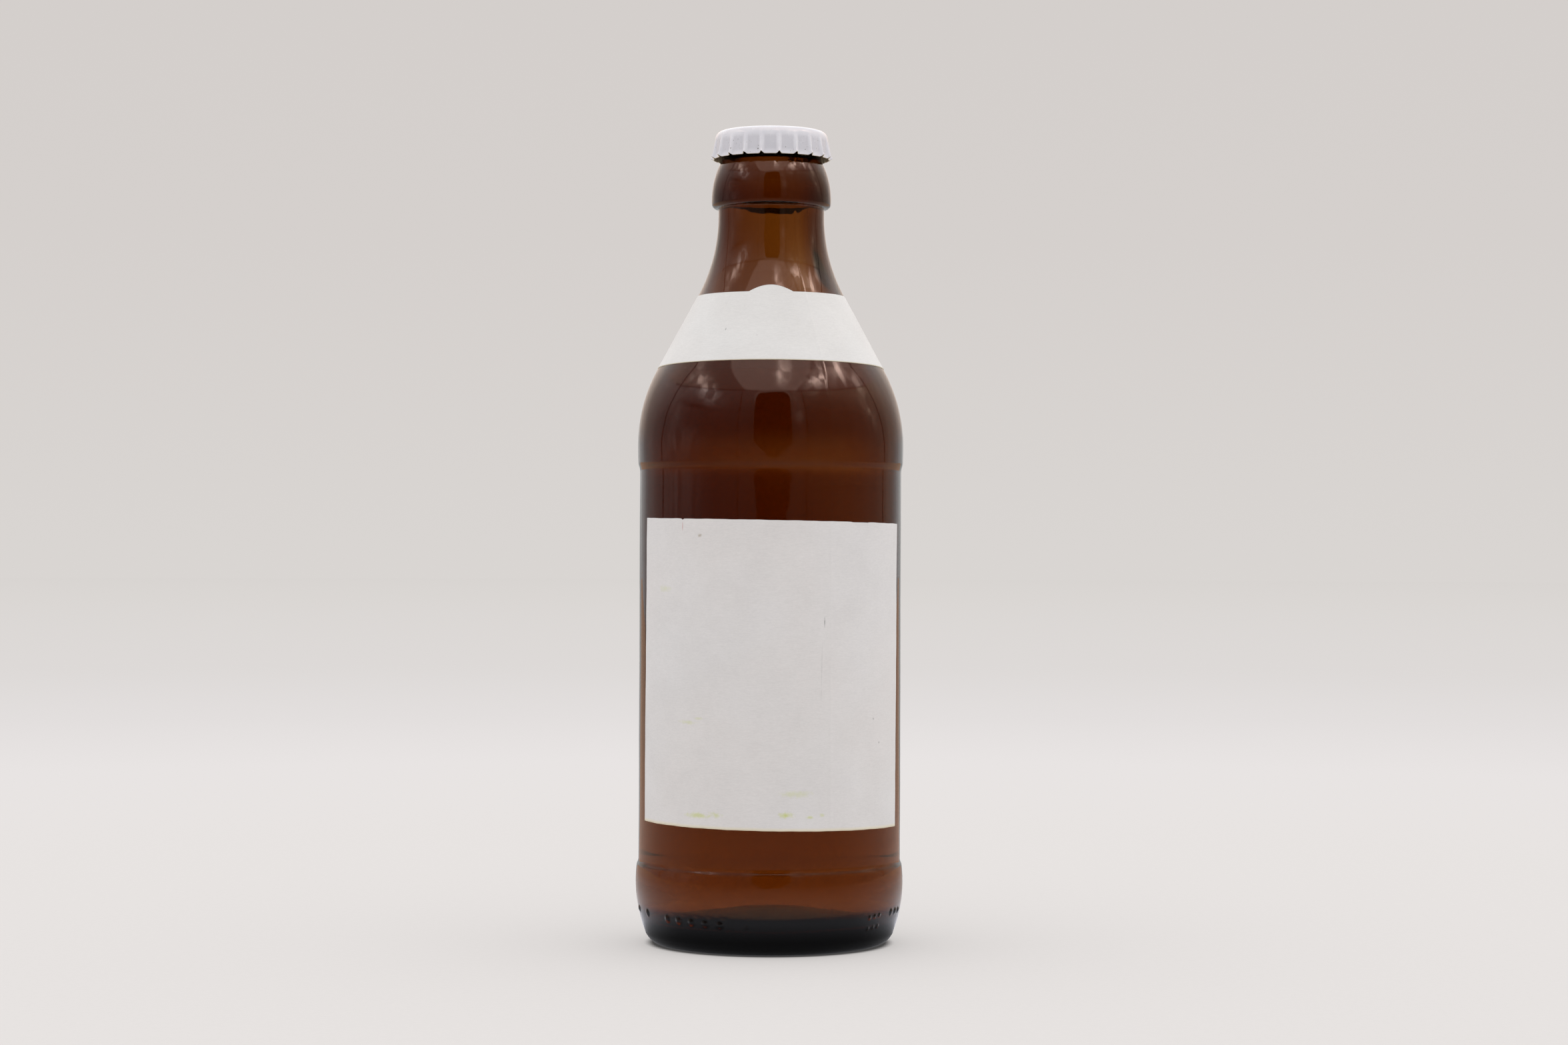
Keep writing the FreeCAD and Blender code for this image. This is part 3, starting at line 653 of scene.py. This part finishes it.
class Graph:
    """Short ways to add nodes to a material's or the world's tree."""

    def __init__(self, tree):
        self.tree = tree
        tree.nodes.clear()

    def node(self, kind, inputs=None, **settings):
        made = self.tree.nodes.new(kind)
        for name, value in settings.items():
            setattr(made, name, value)
        for name, value in (inputs or {}).items():
            if isinstance(value, Value):
                self.tree.links.new(value.socket, made.inputs[name])
            else:
                made.inputs[name].default_value = value
        return made

    def out(self, kind, output=0, inputs=None, **settings):
        """One output of a new node."""
        return Value(self, self.node(kind, inputs, **settings).outputs[output])

    def math(self, operation, *values):
        return self.out("ShaderNodeMath", 0, dict(enumerate(values)), operation=operation)

    def mix(self, share, first, second, blend="MIX"):
        inputs = {0: share, 6: first, 7: second}
        return self.out("ShaderNodeMix", 2, inputs, data_type="RGBA", blend_type=blend)

    def ramp(self, value, stops, smooth=False):
        """A colour or grey that follows a value from 0 to 1 through the stops."""
        made = self.node("ShaderNodeValToRGB", {0: value})
        made.color_ramp.interpolation = "EASE" if smooth else "LINEAR"
        while len(made.color_ramp.elements) < len(stops):
            made.color_ramp.elements.new(0.5)
        for element, (at, colour) in zip(made.color_ramp.elements, stops):
            element.position = at
            element.color = colour if isinstance(colour, tuple) else (colour, colour, colour, 1)
        return Value(self, made.outputs[0])

    def noise(self, vector, scale, detail=2.0, roughness=0.5):
        return self.out("ShaderNodeTexNoise", 0,
                        {"Vector": vector, "Scale": scale, "Detail": detail, "Roughness": roughness})

    def place(self, output="Object"):
        return self.out("ShaderNodeTexCoord", output)

    def apart(self, vector):
        """The three components of a vector."""
        made = self.node("ShaderNodeSeparateXYZ", {0: vector})
        return [Value(self, output) for output in made.outputs]

    def degrees_round(self, x, y):
        """The turn from the front to the right of a place, in degrees."""
        return self.math("ARCTAN2", x, y * -1.0) * (180 / pi)

    def blend(self, share, first, second):
        """Two shaders mixed."""
        return self.out("ShaderNodeMixShader", 0, {0: share, 1: first, 2: second})

    def bump(self, height, strength, distance):
        return self.out("ShaderNodeBump", 0, {"Strength": strength, "Distance": distance, "Height": height})

    def finish(self, inputs):
        """Ends a material with one shader."""
        shader = self.out("ShaderNodeBsdfPrincipled", 0, inputs)
        return self.node("ShaderNodeOutputMaterial", {"Surface": shader})

    def finish_clear(self, roughness, ior, relief, tint, density):
        """Ends a clear material, which leaves exp(-(1 - tint) * density * metres) of the light."""
        end = self.finish({
            "Base Color": WHITE, "Transmission Weight": 1.0, "Roughness": roughness, "IOR": ior,
            "Normal": relief})
        volume = self.node("ShaderNodeVolumeAbsorption", {"Color": tint, "Density": density})
        self.tree.links.new(volume.outputs[0], end.inputs["Volume"])

    def ray(self, kind):
        return self.out("ShaderNodeLightPath", "Is %s Ray" % kind)

    def by_ray(self, seen, mirrored, lit):
        """One shader of three: seen, also through the glass, mirrored, and giving light."""
        eye = self.ray("Camera").at_least(self.ray("Transmission"))
        return self.blend(eye, self.blend(self.ray("Glossy"), lit, mirrored), seen)


def rgba(*shown):
    """A colour given as it shows on a screen, 0 to 255, in the linear values that nodes hold."""
    shares = [value / 255 for value in shown]
    linear = [share / 12.92 if share <= 0.04045 else ((share + 0.055) / 1.055) ** 2.4 for share in shares]
    return (*linear, 1)


def material(name):
    made = bpy.data.materials.new(name)
    made.use_nodes = True
    return made, Graph(made.node_tree)


BLACK, WHITE = (0, 0, 0, 1), (1, 1, 1, 1)
GLASS_IOR, GLASS_TINT, GLASS_DENSITY = 1.52, (0.67, 0.44, 0.0, 1), 1000.0
BEER_IOR, BEER_TINT, BEER_DENSITY = 1.345, (0.717, 0.45, 0.0, 1), 60.0


def amber_glass():
    """Amber bottle glass: clear, its colour from how far light travels in it, with smears and fine wear."""
    made, graph = material("amber_glass")
    at = graph.place()
    wear = graph.noise(at, 900, 3) * 0.12
    smears = graph.noise(at, 60, 4) * 0.7
    grime = graph.ramp(graph.noise(at, 140, 6, 0.7), [(0.45, 0.0), (0.8, 0.05)])
    relief = graph.bump(smears + wear, 0.05, 0.0004)
    graph.finish_clear(grime, GLASS_IOR, relief, GLASS_TINT, GLASS_DENSITY)
    return made


def beer_liquid():
    made, graph = material("beer_liquid")
    relief = graph.bump(graph.noise(graph.place(), 40, 2), 0.02, 0.0002)
    graph.finish_clear(0.0, BEER_IOR, relief, BEER_TINT, BEER_DENSITY)
    return made


YELLOW, BROWN, GREY, PINK = rgba(200, 208, 110), rgba(150, 130, 95), rgba(120, 118, 118), rgba(205, 165, 165)
# Marks on the paper, as shares of its width and height: centre, half width and half height, colour, strength
BODY_STAINS = (
    ((0.545, 0.052, 0.022, 0.010), YELLOW, 0.75), ((0.270, 0.041, 0.045, 0.009), YELLOW, 0.55),
    ((0.330, 0.046, 0.020, 0.010), YELLOW, 0.50), ((0.620, 0.045, 0.012, 0.006), YELLOW, 0.55),
    ((0.658, 0.052, 0.010, 0.006), YELLOW, 0.45), ((0.575, 0.120, 0.050, 0.012), YELLOW, 0.28),
    ((0.120, 0.770, 0.030, 0.012), YELLOW, 0.22), ((0.225, 0.340, 0.030, 0.007), YELLOW, 0.30),
    ((0.265, 0.354, 0.016, 0.005), YELLOW, 0.30), ((0.262, 0.946, 0.007, 0.006), BROWN, 0.55),
    ((0.655, 0.672, 0.0022, 0.020), GREY, 0.65), ((0.648, 0.520, 0.0018, 0.110), GREY, 0.16),
    ((0.850, 0.360, 0.005, 0.004), GREY, 0.55), ((0.880, 0.282, 0.004, 0.004), GREY, 0.45),
    ((0.196, 0.975, 0.0022, 0.016), PINK, 0.70))
NECK_STAINS = (((0.36, 0.45, 0.0022, 0.020), GREY, 0.80), ((0.46, 0.33, 0.001, 0.010), GREY, 0.4))
CUT_EDGE, CUT_COLOUR = 0.012, rgba(232, 220, 184)   # the cream cut edge below: share of the height, colour
PAPER_LIGHT, PAPER_DARK = 1.05, 0.945               # lightest and darkest fibres against the paper's tone


def stained(graph, uv, colour, ragged, stains):
    """The colour with small ragged marks on it."""
    for (u, v, wide, high), shade, strength in stains:
        spot = graph.out("ShaderNodeMapping", 0, {
            "Vector": uv, "Location": (-u / wide, -v / high, 0), "Scale": (1 / wide, 1 / high, 1)})
        away = graph.out("ShaderNodeVectorMath", "Value", {0: spot}, operation="LENGTH")
        inside = (1.15 - (away + ragged)).clamped()
        colour = graph.mix(inside * strength, colour, shade)
    return colour


def label_paper(name, tone, stains):
    """White label paper: fibres, a faint drift of tone, small stains and a cream cut edge below."""
    made, graph = material(name)
    uv = graph.out("ShaderNodeUVMap", uv_map="sheet")
    at = graph.place()
    laid = graph.out("ShaderNodeMapping", 0, {"Vector": at, "Scale": (1, 1, 2.2)})
    upright = graph.out("ShaderNodeMapping", 0, {"Vector": at, "Scale": (0.25, 0.25, 1.6)})
    fibres = graph.noise(laid, 1500, 4, 0.65)
    strands = graph.noise(upright, 2400, 2)
    cloud = graph.noise(at, 110, 5, 0.6)
    light = tuple(min(value * PAPER_LIGHT, 1) for value in tone[:3]) + (1,)
    dark = tuple(value * PAPER_DARK for value in tone[:3]) + (1,)
    colour = graph.ramp(fibres * 0.40 + cloud * 0.35 + strands * 0.25, [(0.36, dark), (0.64, light)])
    drift = graph.ramp(graph.noise(at, 28, 2), [(0.40, 0.0), (0.62, 1.0)])
    cool = graph.mix(drift, (0.992, 0.990, 0.990, 1), (0.980, 0.990, 1.0, 1))
    colour = graph.mix(1.0, colour, cool, "MULTIPLY")
    colour = stained(graph, uv, colour, (graph.noise(at, 900, 4, 0.7) - 0.5) * 2.4, stains)
    cut = (1.0 - graph.apart(uv)[1] / CUT_EDGE).clamped() * 0.8
    graph.finish({
        "Base Color": graph.mix(cut, colour, CUT_COLOUR), "Specular IOR Level": 0.3,
        "Roughness": graph.ramp(fibres, [(0.3, 0.62), (0.7, 0.78)]),
        "Normal": graph.bump(fibres * 0.6 + cloud * 0.8, 0.3, 0.00006)})
    return made


def crown_paint():
    """White lacquer on the crown, with painted shade that darkens it in the facets' hollows, and bare specks
    down the skirt.
    """
    made, graph = material("crown_paint")
    at = graph.place()
    tone = graph.ramp(graph.noise(at, 350, 3), [(0.35, rgba(226, 225, 232)), (0.65, rgba(232, 231, 237))])
    hollow_shade = graph.out("ShaderNodeAttribute", "Fac", attribute_name="hollow_shade")
    # Painted shade: the lacquer is darkened in the facets' hollows
    tone = graph.mix(hollow_shade * 0.75, tone, rgba(206, 205, 212))
    on_skirt = ((GLASS_HEIGHT * MM - 0.0012 - graph.apart(at)[2]) * 2000).clamped()
    specks = graph.ramp(graph.noise(at, 2600, 1), [(0.735, 0.0), (0.77, 0.85)])
    graph.finish({
        "Base Color": graph.mix(specks * on_skirt, tone, rgba(90, 84, 80)),
        "Roughness": graph.ramp(graph.noise(at, 500, 3), [(0.3, 0.20), (0.7, 0.30)]),
        "Coat Weight": 0.4, "Coat Roughness": 0.12,
        "Normal": graph.bump(graph.noise(at, 800, 2), 0.12, 0.00005)})
    return made


def mottled(name, scale, detail, stops, inputs):
    """A plain material whose colour drifts a little."""
    made, graph = material(name)
    graph.finish({"Base Color": graph.ramp(graph.noise(graph.place(), scale, detail), stops), **inputs})
    return made


# The raw cut edge and the lacquered inside of the crown, and its liner
TIN_TONES = ((0.35, rgba(228, 214, 178)), (0.65, rgba(240, 230, 204)))
LINER_TONES = ((0.3, rgba(206, 206, 200)), (0.7, rgba(216, 216, 211)))


# ------------------------ pieces
body_paper = label_paper("body_paper", rgba(225, 222, 221), BODY_STAINS)
neck_paper = label_paper("neck_paper", rgba(232, 230, 228), NECK_STAINS)
tin = mottled("crown_edge", 900, 3, TIN_TONES, {"Roughness": 0.38, "Metallic": 0.25})

for piece, node, slot, *materials in (
        (make_bottle(), "bottle", "amber_glass", amber_glass()), (make_beer(), "beer", "beer", beer_liquid()),
        (make_crown(), "crown_cap", "white_paint", crown_paint(), tin),
        (make_body_label(), "body_label", "label_paper", body_paper),
        (make_neck_label(), "neck_label", "label_paper", neck_paper)):
    for made in materials:
        piece.data.materials.append(made)
    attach(piece, "root")
    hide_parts(node)

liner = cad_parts["crown_liner"]
liner.data.materials.clear()
liner.data.materials.append(mottled("liner_plastic", 600, 2, LINER_TONES, {"Roughness": 0.55}))


# ------------------------ stage
FLOOR_RINGS, FLOOR_TURNS = (25, 60, 100, 160, 260, 420, 700, 1100, 1800, 3000, 5000, 9000), 96
FLOOR_END = FLOOR_RINGS[-1] * MM
# The table as the camera sees it, by distance from the axis in metres
FLOOR_COLOURS = (
    (0.0, (229, 225, 223)), (0.30, (228, 224, 222)), (0.63, (229, 225, 224)), (1.0, (225, 221, 220)),
    (1.73, (222, 218, 216)), (5.0, (219, 215, 212)), (9.0, (217, 213, 210)))
FLOOR_SHADE = 0.52      # how much of the real shading shows near the bottle
# A painted shadow on the table under the bottle, where no light gets: share of light by distance from the
# axis in units of 50 mm. The camera, when it looks straight at the foot, still sees a little.
FOOT_SHADE, FOOT_SHADE_SEEN, UNLIT = ((0.535, 0.0), (0.60, 1.0)), 0.15, (0.004, 0.004, 0.004, 1)
# The table as the glass mirrors it, by distance from the axis in units of 0.6 m, with a painted shadow that
# makes it darkest right at the foot
TABLE_COLOURS = (
    (0.055, (0.10, 0.10, 0.105, 1)), (0.072, (0.33, 0.33, 0.36, 1)), (0.11, (0.30, 0.29, 0.30, 1)),
    (0.2, (0.25, 0.22, 0.21, 1)), (0.42, (0.24, 0.17, 0.14, 1)), (0.9, (0.26, 0.17, 0.12, 1)))
# The tent's foot on the table, where its slope from this height is so many degrees, less to the sides
TENT_CENTRE, TENT_FOOT_SLOPE, TENT_FOOT_RISE = 0.110, 12.5, 0.0005


def seen_table(graph, at, away):
    """The table's own colour with a painted shadow under the foot and some of its real soft shadow near the
    bottle, and the diffuse table that throws light back.
    """
    far = (away / FLOOR_END).clamped() ** 0.5
    base = graph.ramp(far, [((reach / FLOOR_END) ** 0.5, rgba(*colour)) for reach, colour in FLOOR_COLOURS])
    grain = graph.ramp(graph.noise(at, 700, 4), [(0.3, 0.985), (0.7, 1.0)])
    # Painted shadow: the table's colour falls to nearly black under the foot
    lit = graph.ramp(away * 20.0, FOOT_SHADE, smooth=True).at_least(graph.ray("Camera") * FOOT_SHADE_SEEN)
    tone = graph.mix(1.0, graph.mix(lit, UNLIT, base), grain, "MULTIPLY")
    shaded = graph.out("ShaderNodeBsdfDiffuse", 0, {"Color": graph.mix(0.06, tone, BLACK)})
    plain = graph.out("ShaderNodeEmission", 0, {"Color": tone, "Strength": 1.0})
    near = graph.ramp((away / 2.0).clamped(), [(0.1, FLOOR_SHADE), (0.9, 0.0)], smooth=True)
    return graph.blend(near, plain, shaded), shaded


def mirrored_table(graph, at, away):
    """The table inside the tent, as far as the dark line where the tent's cloth stands on it."""
    x, y, _ = graph.apart(at)
    turn = graph.degrees_round(x, y)
    slope = TENT_FOOT_SLOPE - turn * turn * TENT_FOOT_RISE
    inside = graph.math("DIVIDE", TENT_CENTRE, graph.math("TANGENT", slope * (pi / 180))) - away
    # Painted shadow in what the glass mirrors: the table is darkest next to the foot
    cloth = graph.ramp((away / 0.6).clamped(), TABLE_COLOURS)
    bright = 1.0 + ((abs(turn) - 55.0) / 70.0).clamped() * 1.5
    edge = ((inside - 0.004) * 120.0).clamped()
    table = graph.out("ShaderNodeEmission", 0, {"Color": cloth, "Strength": bright * edge})
    beyond = graph.math("LESS_THAN", inside, 0.0)
    return graph.blend(beyond, table, graph.out("ShaderNodeBsdfTransparent"))


def make_floor():
    """A pale table top that runs out of sight."""
    count = FLOOR_TURNS
    turns = np.arange(count) * 2 * pi / count
    rows = [round_axis(ring, turns, 0 * turns) for ring in FLOOR_RINGS]
    faces = [range(count)]
    for low in range(0, (len(rows) - 1) * count, count):
        high = low + count
        for j in range(count):
            k = (j + 1) % count
            faces.append((low + j, high + j, high + k, low + k))
    piece = mesh_piece("floor", np.concatenate(rows), faces, smooth=False)
    made, graph = material("floor_paint")
    at = graph.place()
    away = graph.out("ShaderNodeVectorMath", "Value", {0: at}, operation="LENGTH")
    seen, shaded = seen_table(graph, at, away)
    surface = graph.by_ray(seen, mirrored_table(graph, at, away), shaded)
    graph.node("ShaderNodeOutputMaterial", {"Surface": surface})
    piece.data.materials.append(made)


LIGHT_LEVEL = 0.94
BACKDROP = ((0.0, rgba(218, 214, 211)), (0.1, rgba(217, 213, 210)), (0.3, rgba(213, 208, 205)),
            (0.6, rgba(211, 206, 203)))
# The tent's brightness by turn, as shares of half a turn from the front, and its table's by slope, as shares
# of straight down
TENT_BAND = (
    (0.0, 0.085), (0.16, 0.085), (0.30, 0.085), (0.42, 0.12), (0.58, 0.19), (0.64, 0.26), (0.74, 0.34),
    (0.84, 0.52), (0.92, 0.62), (1.0, 0.62))
TENT_TABLE = ((0.0, 0.20), (0.13, 0.18), (0.33, 0.25), (0.5, 0.22), (0.66, 0.08), (1.0, 0.04))
# Patches of light on the tent's cloth: turn from the front, height, width, length, strength, lean, raggedness
GLOWS = (
    (14, 53, 6, 8, 2.6, 0.1, 12), (24, 56, 5, 5, 1.2, 0.3, 9), (56, 46, 9, 6, 3.6, 0.9, 24),
    (88, 45, 11, 7, 2.6, 0.2, 14), (101, 34, 6, 7, 0.8, -0.2, 9), (99, 20, 5, 8, 0.35, -0.5, 6),
    (-78, 37, 13, 6, 1.4, -1.6, 20), (-62, 31, 14, 6, 0.3, -1.0, 14), (-77, 4, 13, 6, 0.10, 0, 12),
    (26, 27, 4.5, 14, 0.20, 0, 2), (-95, 12, 8, 22, 0.10, 0, 4), (75, 42, 26, 6, 0.5, 0, 18))
CREASE = (-72, 23, 22, 1.6, 0.55, 0, 3)             # a dark one, as for the glows
DOOR_EDGES = (-28.7, 31.8)                          # turns
BACK_EDGES = ((-109.0, 0.2), (116.5, -0.22))        # turn and lean
SLIT_TURN, SLIT_HALF, SLIT_TOP, SLIT_CORNER = 1.8, 10.5, 31.5, 6.0
# The dome's seam and the foot of the cloth: their height in front, and how it falls or rises with the turn
SEAM_HEIGHT, SEAM_FALL, FOOT_HEIGHT, FOOT_RISE = 39.0, 0.0009, -12.0, 0.0005


class Tent(Graph):
    """The world's tree, which the glass mirrors as the inside of a photographer's tent. Directions are in
    degrees: up from the horizon, turn from the front to the right."""

    def __init__(self, tree):
        super().__init__(tree)
        self.way = self.place("Generated")
        self.x, self.y, self.z = self.apart(self.way)
        flat = self.math("SQRT", self.x * self.x + self.y * self.y)
        self.up = self.math("ARCTAN2", self.z, flat) * (180 / pi)
        self.turn = self.degrees_round(self.x, self.y)
        self.side = abs(self.turn)
        square = self.turn * self.turn
        self.over_seam = self.up - (SEAM_HEIGHT - square * SEAM_FALL)
        self.over_foot = self.up - (square * FOOT_RISE + FOOT_HEIGHT)

    def uneven(self, scale, detail):
        return self.noise(self.way, scale, detail) - 0.5

    def streaks(self, by_turn, by_up, detail, roughness=0.5):
        """Unevenness that runs along the tent's walls."""
        place = self.out("ShaderNodeCombineXYZ", 0, {0: self.turn * by_turn, 1: self.up * by_up})
        return self.noise(place, 1.0, detail, roughness)

    def spot(self, turn, height, wide, high, strength, lean, rough):
        """A soft patch at a turn and height, leaning and ragged."""
        away_up = self.up - height
        away = self.turn - turn - away_up * lean + self.uneven(9, 5) * rough
        return away.line(wide) * away_up.line(high) * strength

    def cloth(self):
        """The tent's walls: dim doors in front, bright behind, a lighter dome and crumpled glows."""
        bright = self.ramp(self.side / 180.0, TENT_BAND) * (1.0 + self.streaks(0.09, 0.012, 2.0) * 0.9) * 0.75
        bright = bright * (1.0 + self.up.step(5.0, 36.0) * 0.9)
        arch = 26.0 + self.over_seam * 1.7 - self.side
        dome = self.over_seam.step(-0.6, 0.6) * (1.0 - self.side.step(100.0, 130.0))
        bright = bright + arch.step(-2.0, 2.0) * dome * 0.60
        bright = bright + self.over_seam.step(-16.0, 10.0) * 0.26 + self.up.step(45.0, 75.0) * 0.35
        facets = self.out("ShaderNodeTexVoronoi", "Color", {
            "Vector": self.way, "Scale": 9.0, "Smoothness": 0.35}, feature="SMOOTH_F1")
        crumple = 0.35 + self.apart(facets)[0] ** 1.5 * 1.9
        for patch in GLOWS:
            bright = bright + self.spot(*patch) * crumple
        return bright

    def lines(self):
        """The dark lines: a crease, the doors' edges, the dome's seam and where the cloth meets the table."""
        wobble = self.uneven(14, 5) * 2.6
        dark = self.spot(*CREASE)
        for turn in DOOR_EDGES:
            door = (self.turn - turn + wobble).line(0.40) * (1.0 - self.over_seam.step(0.0, 1.0))
            dark = dark.at_least(door)
        for turn, lean in BACK_EDGES:
            edge = self.turn - turn - self.up.at_least(0.0) * lean
            dark = dark.at_least((edge + wobble * 0.3).line(0.7) * 0.9)
        dark = dark * self.over_foot.step(-1.0, 0.0)
        within = 1.0 - self.side.step(110.0, 112.0)
        level = self.over_seam.line(0.5) * within * 0.55
        return dark.at_least(level.at_least(self.over_foot.line(0.5) * within))

    def with_slit(self, bright):
        """The dark slit between the doors, rounded above and torn below, with a light rim over it."""
        torn = (self.streaks(0.03, 1.6, 6.0, 0.75) - 0.5) * (4.0 + self.turn.step(-4.0, 8.0) * 16.0)
        away = abs(self.turn - SLIT_TURN) + (2.2 - self.up).at_least(0.0) * 2.3
        away = away + torn * (1.0 - self.up.step(1.5, 6.0))
        aside = (away - SLIT_HALF).at_least(0.0)
        over = (self.up - SLIT_TOP).at_least(0.0)
        rounded = self.math("SQRT", aside ** 2.0 + over ** 2.0)
        slit = 1.0 - rounded.step(SLIT_CORNER - 0.4, SLIT_CORNER + 0.4)
        rim = (rounded - (SLIT_CORNER + 1.2)).line(0.8) * (self.up.step(28.0, 36.0) * 0.22)
        return bright * (1.0 - slit * 0.97) + rim

    def on_table(self):
        """1 where the tent's table shows, 0 on its cloth."""
        front = 1.0 - self.over_foot.step(-1.4, -0.4)
        return front.at_least(self.side.step(112.0, 124.0) * (1.0 - self.up.step(-12.0, 0.0)))

    def warmth(self, on_table):
        """The tint of what is mirrored: warm cloth, a cooler table near the foot and a nearly white back."""
        warm = self.mix(self.turn.step(-60.0, 60.0), (1.25, 1.0, 0.92, 1), (1.35, 1.0, 0.75, 1))
        warm = self.mix(self.over_seam.step(-1.0, 1.0), warm, (1.30, 0.94, 0.79, 1))
        table = self.mix(self.up.step(-60.0, -20.0), (0.96, 0.97, 1.06, 1), (1.5, 1.0, 0.8, 1))
        warm = self.mix(on_table, warm, table)
        low_back = self.up.step(1.0, 6.0) * (1.0 - self.up.step(14.0, 28.0))
        back = self.mix(low_back, (1, 0.985, 0.97, 1), (1.15, 0.95, 0.83, 1))
        return self.mix(self.side.step(112.0, 150.0), warm, back)

    def mirrored(self):
        """All that the glass mirrors above and around it."""
        bright = self.with_slit(self.cloth() * (1.0 - self.lines() * 0.9))
        table = self.ramp((self.up / -90.0).clamped(), TENT_TABLE) * (1.0 + self.side.step(90.0, 150.0) * 1.6)
        on_table = self.on_table()
        return self.mix(1.0, self.warmth(on_table), self.mix(on_table, bright, table), "MULTIPLY")

    def background(self, colour, strength=1.0):
        return self.out("ShaderNodeBackground", 0, {"Color": colour, "Strength": strength})


def make_world():
    """A pale backdrop for the eye, a photographer's tent for the glass to mirror, and a soft light that is
    stronger from above and from behind."""
    world = bpy.data.worlds.new("studio")
    world.use_nodes = True
    bpy.context.scene.world = world
    tent = Tent(world.node_tree)
    backdrop = tent.background(tent.ramp(tent.up * 0.035 + 0.1, BACKDROP))
    light = (1.0 + (tent.y * 0.34 + tent.x * 0.058 + tent.z * 0.35)) * LIGHT_LEVEL
    surface = tent.by_ray(backdrop, tent.background(tent.mirrored()), tent.background(WHITE, light))
    tent.node("ShaderNodeOutputWorld", {"Surface": surface})


CAMERA_PLACE = (0, -0.7359, 0.0932)
CAMERA_TURN, CAMERA_PITCH, CAMERA_ROLL = radians(-0.253), radians(90.506), radians(0.18)


def make_camera():
    """In front of the labels at bottle height, looking a touch upwards."""
    data = bpy.data.cameras.new("camera")
    data.lens = 71.0
    data.sensor_width = 36
    camera = bpy.data.objects.new("camera", data)
    bpy.context.scene.collection.objects.link(camera)
    turn = Matrix.Rotation(CAMERA_TURN, 4, "Z") @ Matrix.Rotation(CAMERA_PITCH, 4, "X")
    camera.matrix_world = Matrix.Translation(CAMERA_PLACE) @ turn @ Matrix.Rotation(CAMERA_ROLL, 4, "Z")
    bpy.context.scene.camera = camera


make_floor()
make_world()
make_camera()
bpy.context.scene.view_settings.view_transform = "Standard"
